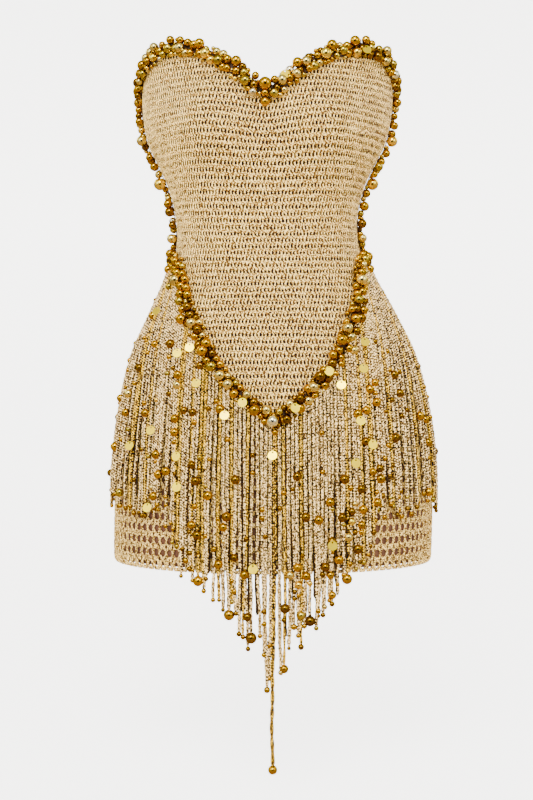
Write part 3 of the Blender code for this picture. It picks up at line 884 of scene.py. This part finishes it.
def make_net(name, start, end, settings):
    """The openwork half skirt: rows of round holes over a row of narrow slots at the hem."""
    fine, along = arc_along(start, end, NET_LEVEL)
    across = round(along[-1] / settings.pitch)
    wide = along[-1] / across
    rows = math.ceil((-0.034 - HEM_HEIGHT - settings.slot_row) / settings.row)
    slot = net_tile(settings.slot_wide, settings.slot_high, wide, settings.slot_row, SLOT_DROP)
    hole = net_tile(settings.hole_wide, settings.hole_high, wide, settings.row, 0.0)
    all_points, all_faces, values, total = [], [], [], 0
    for r in range(rows + 1):
        points, faces = hole if r else slot
        middle = HEM_HEIGHT + (settings.slot_row + (r - 0.5) * settings.row if r else settings.slot_row / 2)
        centres = (np.arange(across) + 0.5) * wide
        centres = centres[middle < seam_height(np.interp(centres, along, fine)) + 0.003]
        flat_x = centres[:, None] + points[None, :, 0]
        angle = np.interp(flat_x, along, fine)
        height = np.minimum(middle + points[None, :, 1], seam_height(angle) - SEAM_ROOM)
        placed = cloth_point(angle, height, np.broadcast_to(points[None, :, 2] - 0.0002, angle.shape))
        all_points.append(placed.reshape(-1, 3))
        # Shade is painted on the yarn where two rings meet
        level = np.where(np.arange(len(points)) // NET_SIDES < 2, *NET_SHADES)
        marks = flat_x / NET_MARKS[0] + height / NET_MARKS[1]
        place = (marks, np.broadcast_to(level, angle.shape), 0 * angle)
        values.append(np.stack(place, axis=-1).reshape(-1, 3))
        copies = np.array(faces)[None] + (np.arange(len(centres)) * len(points))[:, None, None] + total
        all_faces.append(copies.reshape(-1, 4))
        total += len(centres) * len(points)
    all_points, all_faces, values = (np.concatenate(part) for part in (all_points, all_faces, values))
    obj = make_mesh(name, all_points, all_faces, "stitch", "FLOAT_VECTOR", values)
    apply_modifier(obj, "WELD", merge_threshold=DOUBLES)
    return obj


class DRESS_OT_skirt(bpy.types.Operator):
    """Makes the openwork skirt and the lining that shows through it"""

    bl_idname = "dress.skirt"
    bl_label = "Skirt"

    def execute(self, context):
        settings = context.scene.dress_net
        yarn = bpy.data.materials["lurex_crochet"]
        front = make_net("net_front", -90, 90, settings)
        back = make_net("net_back", 90, 270, settings)
        hand_over(front, yarn, ["skirt_front"])
        hand_over(back, yarn, ["skirt_back"])
        hem, top = beside(flat_line, HEM_HEIGHT + 0.004), beside(seam_height, -0.004)
        lining = make_shell("lining_tube", (-90, 270), hem, top, (144, 40), -0.0036, LINING_WALL)
        apply_modifier(lining, "WELD", merge_threshold=DOUBLES)
        hand_over(lining, lining_material(settings), ["skirt_lining"])
        return {"FINISHED"}


def bead_start(segments, rings):
    """A bead modelled once: a ball a little flattened where its thread goes in."""
    deselect_all()
    bpy.ops.mesh.primitive_uv_sphere_add(segments=segments, ring_count=rings, radius=1)
    points, faces = take_mesh(bpy.context.object)
    points[:, 2] = np.sign(points[:, 2]) * np.minimum(np.abs(points[:, 2]), 0.96)
    return points, faces


def make_beads(name, beads, rng):
    """All beads of one edging or fringe as one piece: (centre, radius, finish)."""
    starts = ((0.0032, bead_start(8, 6)), (0.0046, bead_start(12, 8)), (1.0, bead_start(18, 12)))
    points, faces, tones, total = [], [], [], 0
    for centre, radius, finish in beads:
        ball, ball_faces = next(start for limit, start in starts if radius < limit)
        spin = np.linalg.qr(rng.normal(size=(3, 3)))[0]
        if np.linalg.det(spin) < 0:
            spin[0] *= -1
        squash = np.array((1.04, 1.04, rng.uniform(0.98, 1.06)))
        points.append(centre + (ball * squash) @ spin * radius)
        faces += [tuple(v + total for v in f) for f in ball_faces]
        colour = np.array(linear(BEAD_FINISHES[finish]))
        colour[:3] = np.clip(colour[:3] * rng.uniform(0.8, 1.2), 0, 1)
        tones.append(np.tile(colour, (len(ball), 1)))
        total += len(ball)
    return make_mesh(name, np.concatenate(points), faces, "bead_tone", "FLOAT_COLOR", np.concatenate(tones))


def pick_finish(rng, shares):
    return tuple(BEAD_FINISHES)[rng.choice(len(BEAD_FINISHES), p=shares)]


def pile_bead(near, angle, height, radius, most_out):
    """Where a bead comes to rest on the cloth or on the beads that lie near; None where the pile is full."""
    outs = np.arange(radius * 0.8 + BEAD_STEP, most_out, BEAD_STEP)
    places = form_point(angle, height) + form_normal(angle, height) * outs[:, None]
    gaps = np.linalg.norm(places[:, None, :] - np.array([b[0] for b in near])[None], axis=2)
    free = np.all(gaps > BEAD_PRESS * (np.array([b[1] for b in near]) + radius)[None], axis=1)
    return places[np.argmax(free)] if free.any() else None


def add_bead(beads, rng, angle, height, radius, most_out, shares):
    """Piles one more bead on those in the list, where there is room for it."""
    near = [b for b in beads if abs(b[0][2] - height) < BEAD_NEAR]
    if near:
        centre = pile_bead(near, angle, height, radius, most_out)
    else:
        centre = cloth_point(angle, height, radius + BEAD_STEP)
    if centre is not None:
        beads.append((centre, radius, pick_finish(rng, shares)))


def steepness(curve, angle):
    """How much taller than wide a band is where its curve climbs, at most 1.9 times."""
    ahead, behind = (form_point(angle + s, curve(angle + s)) for s in (0.01, -0.01))
    slope = (ahead - behind)[2] / max(np.hypot(*(ahead - behind)[:2]), 1e-6)
    return min(math.hypot(1, slope), 1.9)


def keep_to_band(curve, angle, height, room):
    """A height moved, where it has to be, into the band along a curve; a bead may hang 10 mm further down."""
    reach = room * steepness(curve, angle)
    return float(np.clip(height, curve(angle) - reach - 0.010, curve(angle) + reach))


def scatter_beads(rng, curve, start, end, half, accents, shares):
    """Beads piled along a curve on the cloth: the ones that stand out, then big, middling and small ones."""
    fine, along = arc_along(start, end, curve)
    beads = list(accents)
    for low, high, tries in BAND_BEADS:
        for _ in range(int(tries * along[-1])):
            radius = rng.uniform(low, high)
            angle = np.interp(rng.uniform(0, along[-1]), along, fine)
            room = max(half - radius * 0.9, 0) * steepness(curve, angle)
            height = curve(angle) + rng.uniform(-1, 1) * room
            add_bead(beads, rng, angle, height, radius, BAND_DEPTH, shares)
    return beads


def side_beads(rng, angle, accents):
    """The string of beads down a side seam, big and small by turns, two abreast here and there."""
    beads = list(accents)
    for low, high, tries in SIDE_BEADS:
        for _ in range(tries):
            radius = rng.uniform(low, high)
            height = rng.uniform(-0.032, 0.158)
            turn = angle + rng.uniform(-0.030, 0.030)
            add_bead(beads, rng, turn, height, radius, SIDE_DEPTH, LIGHT_MIX)
    return beads


class DRESS_OT_beads(bpy.types.Operator):
    """Sews the bead edging round the neckline, the sides and the hip seam"""

    bl_idname = "dress.beads"
    bl_label = "Bead edging"

    def execute(self, context):
        settings = context.scene.dress_beads
        rng = np.random.default_rng(settings.seed)
        material, tape = bead_material(), tape_material(settings)
        curves = {"neck": (neck_height, settings.neck_half), "seam": (seam_height, settings.seam_half)}
        groups = {"neck": [], "seam": [], "left": [], "right": []}
        for across, down, size, finish in ACCENT_BEADS:
            angle, height = on_cloth(across, down)
            radius = size * 0.001
            group = "neck" if down < 106 else "seam" if down > 256 else "left" if angle < 0 else "right"
            if group in curves:
                curve, half = curves[group]
                height = keep_to_band(curve, angle, height, max(half - radius * 0.9, 0.001))
            else:
                angle = math.copysign(max(abs(angle), math.radians(85)), angle)
            out = radius + BEAD_STEP + 0.0026 * max(math.cos(angle), 0.0)
            groups[group].append((cloth_point(angle, height, out), radius, finish))

        # A dark tape under each band, painted shade between its beads
        def sew_tape(name, turns, low, high, grid):
            strip = make_shell("tape_" + name, turns, low, high, grid, settings.tape * 1.6, settings.tape)
            hand_over(strip, tape)

        bands = (
            ("neckline", neck_height, (-90, 90), settings.neck_half, "neck", LIGHT_MIX, "neckline_beads"),
            ("hip_seam", seam_height, (-90, 90), settings.seam_half, "seam", DARK_MIX, "seam_beads_front"),
            ("back_seam", seam_height, (91, 269), settings.back_half, None, DARK_MIX, "seam_beads_back"),
        )
        for name, curve, turns, half, group, mix, solid in bands:
            beads = scatter_beads(rng, curve, *turns, half, groups.get(group, []), mix)
            hand_over(make_beads("beads_" + name, beads, rng), material, [solid])
            reach = half - 0.0045
            sew_tape(name, turns, beside(curve, -reach), beside(curve, reach), (120, 4))
        # The photograph's left is the wearer's right
        for name, angle, group in (("right", -90, "left"), ("left", 90, "right")):
            beads = side_beads(rng, math.radians(angle), groups[group])
            hand_over(make_beads("beads_side_" + name, beads, rng), material, ["side_beads_" + name])
            low, high = beside(flat_line, -0.030), beside(flat_line, 0.155)
            sew_tape("side_" + name, (angle - 1.2, angle + 1.2), low, high, (4, 60))
        return {"FINISHED"}


def outward(points, level):
    """The level outward directions of the form's ellipse through points."""
    depth = np.where(points[:, 1] < 0, front_depth(level), back_depth(level))
    lean = np.stack(
        [(points[:, 0] - sway(level)) / half_width(level) ** 2, points[:, 1] / depth**2, 0 * level], axis=-1
    )
    return lean / np.linalg.norm(lean, axis=1, keepdims=True)


def hang(starts, ends, clearance, steps):
    """Lines of strands that hang down, pushed out wherever the hips are wider; steps + 1 points each."""
    points = starts.copy()
    lines = [points.copy()]
    for k in range(1, steps + 1):
        height = starts[:, 2] + (ends - starts[:, 2]) * k / steps
        level = np.maximum(height, HEM_HEIGHT)
        points = np.column_stack([points[:, :2], height])
        push = outward(points, level)
        wide = half_width(level) + clearance
        for _ in range(8):
            deep = np.where(points[:, 1] < 0, front_depth(level), back_depth(level)) + clearance
            inside = np.maximum(1 - np.hypot((points[:, 0] - sway(level)) / wide, points[:, 1] / deep), 0)
            points[:, :2] += push[:, :2] * (inside * np.minimum(wide, deep))[:, None]
        lines.append(points.copy())
    return np.array(lines).transpose(1, 0, 2)


def lay_strands(rng, count, turns, clearance, wave, end_scatter):
    """Strand lines from under the beads to their ends, evenly round the hips, each with a slight wave."""
    fine, along = arc_along(*turns, FRINGE_LEVEL)
    angles = np.interp(np.linspace(0, along[-1], count), along, fine)
    starts = cloth_point(angles, seam_height(angles) - 0.004, np.full(count, 0.0022))
    ends = fringe_end(angles) + rng.uniform(*end_scatter, count)
    lines = hang(starts, ends, clearance, 64)
    side = outward(lines[:, -1], np.full(count, HEM_HEIGHT))
    side = np.stack([-side[:, 1], side[:, 0], 0 * side[:, 0]], axis=-1)
    share = np.linspace(0, 1, lines.shape[1])[None, :]
    phase = rng.uniform(0, 2 * np.pi, (count, 1))
    lean = rng.normal(0, wave, (count, 1))
    curl = 0.5 * np.sin(phase + share * 9) + 0.22 * np.sin(phase * 3 + share * 34)
    swing = lean * share**1.5 + wave * curl * share
    return angles, lines + side[:, None, :] * swing[..., None]


def strand_start(sides, rings):
    """A strand modelled once: a closed round bar, a metre long on Z, cut into rings."""
    deselect_all()
    bpy.ops.mesh.primitive_cylinder_add(vertices=sides, radius=1, depth=1, end_fill_type="TRIFAN")
    obj = bpy.context.object
    edit_mesh("EDGE")
    bpy.ops.object.mode_set(mode="OBJECT")
    heights = [v.co.z for v in obj.data.vertices]
    for edge in obj.data.edges:
        edge.select = heights[edge.vertices[0]] * heights[edge.vertices[1]] < 0
    bpy.ops.object.mode_set(mode="EDIT")
    bpy.ops.mesh.subdivide(number_cuts=rings - 1)
    bpy.ops.object.mode_set(mode="OBJECT")
    return take_mesh(obj)


def lay_one(points, line, radius, tone, twist, link):
    """A strand's points laid along a line: its plies wind round each other, or its links swell by turns."""
    along = length_along(line)
    places = (0.5 - points[:, 2]) * along[-1]
    middle, run = (
        np.stack([np.interp(places, along, part) for part in parts], axis=-1)
        for parts in (line.T, [np.gradient(part, along) for part in line.T])
    )
    run /= np.linalg.norm(run, axis=1, keepdims=True)
    out = np.array([line[:, 0].mean(), line[:, 1].mean(), 0.0])
    side = np.cross(run, out)
    side /= np.linalg.norm(side, axis=1, keepdims=True)
    out = np.cross(side, run)
    turn = np.arctan2(points[:, 1], points[:, 0])
    wide = np.hypot(points[:, 0], points[:, 1])
    reach = 0.84 + 0.20 * np.cos(2 * turn - 2 * np.pi * places / twist)
    if link:
        reach = 0.62 + 0.38 * np.abs(np.sin(np.pi * places / link))
    ends = np.minimum(1.0, 0.45 + np.minimum(places, along[-1] - places) / 0.002)
    reach = radius * wide * reach * ends
    laid = middle + side * (np.cos(turn) * reach)[:, None] + out * (np.sin(turn) * reach)[:, None]
    return laid, np.stack([np.cos(turn), places / 0.003, np.full(len(turn), tone)], axis=-1)


def make_strands(name, start, lines, rng, radius, tone, settings):
    """All strands of one kind as one piece, with their places along and across and their tone."""
    start_points, start_faces = start
    link = settings.link if tone >= GOLD else 0.0
    points, values = [], []
    for line in lines:
        own = radius * rng.uniform(0.85, 1.1)
        laid, value = lay_one(start_points, line, own, tone, settings.twist, link)
        points.append(laid)
        values.append(value)
    count = len(start_points)
    faces = [tuple(v + k * count for v in f) for k in range(len(lines)) for f in start_faces]
    return make_mesh(name, np.concatenate(points), faces, "strand", "FLOAT_VECTOR", np.concatenate(values))


def spread_gold(rng, count, share):
    """Which strands are gold: evenly spread, with a little unevenness."""
    return (np.arange(count) * share + rng.uniform(-0.12, 0.12, count)) % 1 < share


def thread_beads(rng, lines, count, beads, bare=()):
    """Threads beads on strands, more of them low down and none on the bare ones."""
    for _ in range(count):
        k = int(rng.integers(len(lines)))
        if k in bare:
            continue
        at = int(lines.shape[1] * min(rng.beta(2.0, 1.2), 0.98))
        size = rng.uniform(*(SMALL_BEADS if rng.random() < 0.50 else BIG_BEADS))
        centre = lines[k, at] + outward(lines[k, at : at + 1], np.array([HEM_HEIGHT]))[0] * size * 0.35
        if all(np.linalg.norm(centre - b[0]) > 0.95 * (b[1] + size) for b in beads):
            beads.append((centre, size, pick_finish(rng, DARK_MIX)))


def end_strand(line, end_bead, power):
    """Stretches a strand down to a bead that the photograph shows; gives the bead's place and radius."""
    across, down, size = end_bead
    point, radius = from_photo(across, down, line[-1, 1]), size * 0.001
    share = np.linspace(0, 1, len(line))
    top = line[0, 2]
    line[:, 0] += (point[0] - line[-1, 0]) * share**power
    line[:, 2] = top + (point[2] + radius * 0.7 - top) * share
    return np.array((*line[-1, :2], point[2])), radius


class DRESS_OT_fringe(bpy.types.Operator):
    """Hangs the fringe from the hip seam and threads its beads"""

    bl_idname = "dress.fringe"
    bl_label = "Fringe"

    def execute(self, context):
        settings = context.scene.dress_fringe
        rng = np.random.default_rng(settings.seed)
        material, bead_finish = strand_material(), bpy.data.materials["plated_gold_pearls"]

        def hang_piece(name, start, lines, radius, tone, nodes=()):
            strands = make_strands(name, start, lines, rng, radius, tone, settings)
            hand_over(strands, material, nodes)

        angles, lines = lay_strands(rng, settings.front, *FRONT_LAYER)
        middle = int(np.argmin(np.abs(angles)))
        beads, taken = [], {middle}
        for end_bead in LOW_ENDS:
            seen = to_photo(lines[:, -1])[:, 0]
            k = next(k for k in np.argsort(np.abs(seen - end_bead[0])) if k not in taken)
            taken.add(k)
            beads.append((*end_strand(lines[k], end_bead, 1.5), pick_finish(rng, DARK_MIX)))
        beads.append((*end_strand(lines[middle], LONG_STRAND, 0.7), "antique"))
        is_gold = spread_gold(rng, len(angles), settings.gold_share)
        is_gold[middle] = False
        is_cream = ~is_gold
        is_cream[middle] = False
        cord, chain = strand_start(8, 128), strand_start(6, 230)
        hang_piece("strands_cream", cord, lines[is_cream], settings.radius, CREAM, ["fringe_front"])
        hang_piece("strands_gold", chain, lines[is_gold], settings.chain, GOLD)
        hang_piece("strand_long", chain, lines[[middle]], LONG_RADIUS, LONG)
        for k in range(len(angles)):
            if k not in taken and rng.random() < 0.8:
                size = rng.uniform(*END_BEADS)
                beads.append((lines[k, -1] - (0, 0, size * 0.7), size, pick_finish(rng, DARK_MIX)))
        thread_beads(rng, lines, settings.beads, beads, (middle,))
        hand_over(make_beads("beads_fringe", beads, rng), bead_finish)

        # A layer of strands coloured near black, as the painted shade in the gaps of the front layer
        lines = lay_strands(rng, settings.under, *UNDER_LAYER)[1]
        hang_piece("strands_under", strand_start(6, 64), lines, settings.chain, UNDER)

        angles, lines = lay_strands(rng, settings.back, *BACK_LAYER)
        is_gold = spread_gold(rng, len(angles), settings.gold_share)
        cord, chain = strand_start(6, 100), strand_start(6, 150)
        hang_piece("strands_back_cream", cord, lines[~is_gold], settings.radius, CREAM, ["fringe_back"])
        hang_piece("strands_back_gold", chain, lines[is_gold], settings.chain, GOLD)
        beads = []
        for line in lines:
            beads.append((line[-1] - (0, 0, 0.0018), rng.uniform(*END_BEADS), pick_finish(rng, DARK_MIX)))
        thread_beads(rng, lines, BACK_BEADS, beads)
        hand_over(make_beads("beads_back", beads, rng), bead_finish)
        return {"FINISHED"}


class DRESS_OT_spangles(bpy.types.Operator):
    """Hangs the round flat spangles among the beads and strands"""

    bl_idname = "dress.spangles"
    bl_label = "Spangles"

    def execute(self, context):
        rng = np.random.default_rng(3)
        deselect_all()
        bpy.ops.mesh.primitive_cylinder_add(vertices=24, radius=0.0052, depth=0.0005)
        disc = context.object
        bpy.ops.mesh.primitive_cylinder_add(vertices=8, radius=0.0011, depth=0.002, location=(0, 0.0034, 0))
        punch = context.object
        apply_modifier(disc, "BOOLEAN", operation="DIFFERENCE", object=punch)
        bpy.data.objects.remove(punch)
        disc_points, disc_faces = take_mesh(disc)
        points, faces = [], []
        for across, down in SPANGLES:
            angle, height = on_cloth(across, down)
            if height > 0.1:
                height = keep_to_band(neck_height, angle, height, 0.003)
            # Spangles hang freely and turn to the front
            out = form_normal(angle, height) + (0, -0.9, 0.55) + rng.normal(0, 0.14, 3)
            out /= np.linalg.norm(out)
            side = np.cross((0, 0, 1.0), out)
            side /= np.linalg.norm(side)
            centre = cloth_point(angle, height, 0.0110 if height > 0.1 else 0.0125)
            faces += [tuple(v + len(points) * len(disc_points) for v in f) for f in disc_faces]
            points.append(centre + disc_points @ np.array([side, np.cross(out, side), out]))
        obj = make_mesh("spangles", np.concatenate(points), faces)
        choose(obj)
        bpy.ops.object.shade_smooth_by_angle(angle=math.radians(35))
        hand_over(obj, spangle_material())
        return {"FINISHED"}


def aim(obj, target):
    """Turns a lamp so that it looks at a point."""
    away = np.array(obj.location) - np.array(target)
    obj.rotation_euler = (math.atan2(math.hypot(away[0], away[1]), away[2]), 0, math.atan2(away[0], -away[1]))


class DRESS_OT_stage(bpy.types.Operator):
    """Sets the pale floor, the soft lights and the camera"""

    bl_idname = "dress.stage"
    bl_label = "Stage"

    def execute(self, context):
        settings = context.scene.dress_stage
        deselect_all()
        bpy.ops.mesh.primitive_circle_add(vertices=96, radius=settings.radius, fill_type="NGON",
                                          location=(0, 0, settings.floor))
        floor = context.object
        floor.name = "paper_floor"
        bpy.ops.object.transform_apply(location=True)
        bpy.ops.object.mode_set(mode="EDIT")
        bpy.ops.mesh.select_mode(type="EDGE")
        bpy.ops.mesh.select_all(action="SELECT")
        bend, steps, reach = 1.2, 12, settings.radius
        for k in range(steps + 1):
            before, after = (math.pi / 2 * min(s, steps) / steps for s in (k, k + 1))
            rise = bend * (math.cos(before) - math.cos(after)) if k < steps else 1.6
            wider = reach + bend * (math.sin(after) - math.sin(before))
            bpy.ops.mesh.extrude_edges_move(TRANSFORM_OT_translate={"value": (0, 0, rise)})
            bpy.ops.transform.resize(value=(wider / reach, wider / reach, 1))
            reach = wider
        bpy.ops.mesh.select_all(action="SELECT")
        bpy.ops.mesh.normals_make_consistent(inside=True)
        bpy.ops.object.mode_set(mode="OBJECT")
        floor.data.shade_smooth()
        # The paper is lit from behind as well, as on a light table
        glow = {"Emission Color": (1, 1, 1, 1), "Emission Strength": settings.glow}
        paper = speckled("matt_paper", 400.0, (0.3, settings.colour), (0.7, "#FBFAF8"), Roughness=0.9, **glow)
        floor.data.materials.append(paper)
        floor.visible_glossy = False
        # Dark flags that only the beads reflect: round the camera, below, and behind for dark rims
        flags = (
            ("black_felt", 0.58, (0, -1.40, -0.15), math.pi / 2, "#0A0908", "#14120F"),
            ("brown_felt", 3.00, (0, 0, -0.64), 0.0, "#6A5636", "#786244"),
            ("dark_felt", 3.60, (0, 1.50, 0.0), math.pi / 2, "#2A1C0C", "#3A2812"),
        )
        for name, radius, place, tilt, dark, light in flags:
            deselect_all()
            bpy.ops.mesh.primitive_circle_add(vertices=48, radius=radius, fill_type="NGON", location=place,
                                              rotation=(tilt, 0, 0))
            bpy.ops.object.transform_apply(location=True, rotation=True)
            flag = context.object
            flag.name = "flag_" + name
            flag.visible_camera = flag.visible_diffuse = flag.visible_shadow = False
            flag.data.materials.append(speckled(name, 300.0, (0.3, dark), (0.7, light), Roughness=1.0))
        lamps = (
            ("key", (-0.2, -1.9, 1.5), 1.2, 1.0),
            ("fill_left", (-1.7, -1.6, 0.8), 1.2, 0.2),
            ("fill_right", (1.7, -1.6, 0.8), 1.2, 0.2),
            ("back_left", (-2.0, 1.2, 1.2), 1.4, 0.4),
            ("back_right", (2.0, 1.2, 1.2), 1.4, 0.4),
        )
        for name, place, size, share in lamps:
            deselect_all()
            bpy.ops.object.light_add(type="AREA", location=place)
            lamp = context.object
            lamp.name = name
            lamp.data.shape = "DISK"
            lamp.data.size = size
            lamp.data.energy = settings.key * share
            aim(lamp, (0, 0, -0.15))
        world = bpy.data.worlds.new("soft_room")
        world.use_nodes = True
        # Polished beads reflect a dimmer room than the one that lights the cloth
        tree = world.node_tree
        polished = tree.nodes.new("ShaderNodeLightPath").outputs["Is Glossy Ray"]
        strength = node(tree, "MapRange", (polished, 0.0, 1.0, settings.sky, settings.sky * 0.49))
        node(tree, tree.nodes["Background"], {"Color": (1.0, 0.99, 0.97, 1.0), "Strength": strength})
        context.scene.world = world
        deselect_all()
        bpy.ops.object.camera_add(location=CAMERA_PLACE, rotation=(math.pi / 2, 0, 0))
        camera = context.object
        camera.data.sensor_fit = "VERTICAL"
        camera.data.sensor_height = 24.0
        camera.data.lens = 24.0 * -CAMERA_PLACE[1] / PIXEL / PHOTO_HIGH
        camera.data.clip_start = 0.01
        context.scene.camera = camera
        return {"FINISHED"}


class DRESS_PT_panel(bpy.types.Panel):
    """Lists the dress's pieces"""

    bl_label = "Crochet fringe dress"
    bl_idname = "DRESS_PT_panel"
    bl_space_type = "VIEW_3D"
    bl_region_type = "UI"
    bl_category = "Dress"

    def draw(self, context):
        for name, group in SETTINGS.items():
            box = self.layout.box()
            for key in group.__annotations__:
                box.prop(getattr(context.scene, name), key)
        for operator in OPERATORS:
            self.layout.operator(operator.bl_idname)


OPERATORS = (
    DRESS_OT_stage,
    DRESS_OT_bodice,
    DRESS_OT_skirt,
    DRESS_OT_beads,
    DRESS_OT_fringe,
    DRESS_OT_spangles,
)
CLASSES = (*SETTINGS.values(), *OPERATORS, DRESS_PT_panel)


def register():
    for cls in CLASSES:
        bpy.utils.register_class(cls)
    for name, group in SETTINGS.items():
        setattr(bpy.types.Scene, name, PointerProperty(type=group))


def unregister():
    for name in SETTINGS:
        delattr(bpy.types.Scene, name)
    for cls in reversed(CLASSES):
        bpy.utils.unregister_class(cls)


def main():
    register()
    bpy.ops.dress.stage()
    bpy.ops.dress.bodice()
    bpy.ops.dress.skirt()
    bpy.ops.dress.beads()
    bpy.ops.dress.fringe()
    bpy.ops.dress.spangles()


if __name__ == "__main__":
    main()
